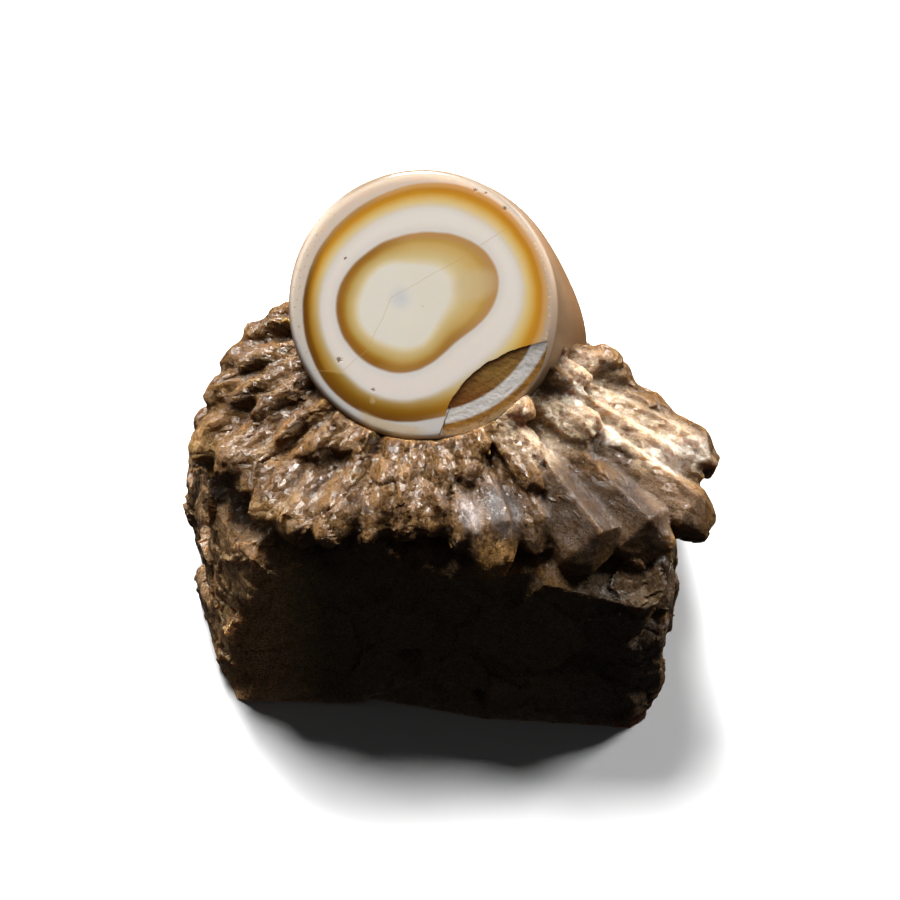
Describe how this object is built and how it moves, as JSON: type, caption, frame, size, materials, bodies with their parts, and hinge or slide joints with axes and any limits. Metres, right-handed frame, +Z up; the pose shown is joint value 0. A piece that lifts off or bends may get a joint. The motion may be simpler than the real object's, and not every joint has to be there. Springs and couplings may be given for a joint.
{
  "type": "onyx specimen",
  "caption": "Banded onyx eye, cut flat and polished, standing in a broken block of radiating brown quartz crystals.",
  "frame": {"origin": "middle of the flat underside", "axes": "+Z up; the front, which the polished face looks towards, is -Y"},
  "size_m": [0.0629, 0.0508, 0.0521],
  "materials": {
    "onyx": "polished, with white and amber rings",
    "quartz": "broken crystals, glassy in places and stained brown"
  },
  "bodies": {
    "root": {"onyx_eye": "onyx", "quartz_matrix": "quartz"}
  },
  "joints": []
}
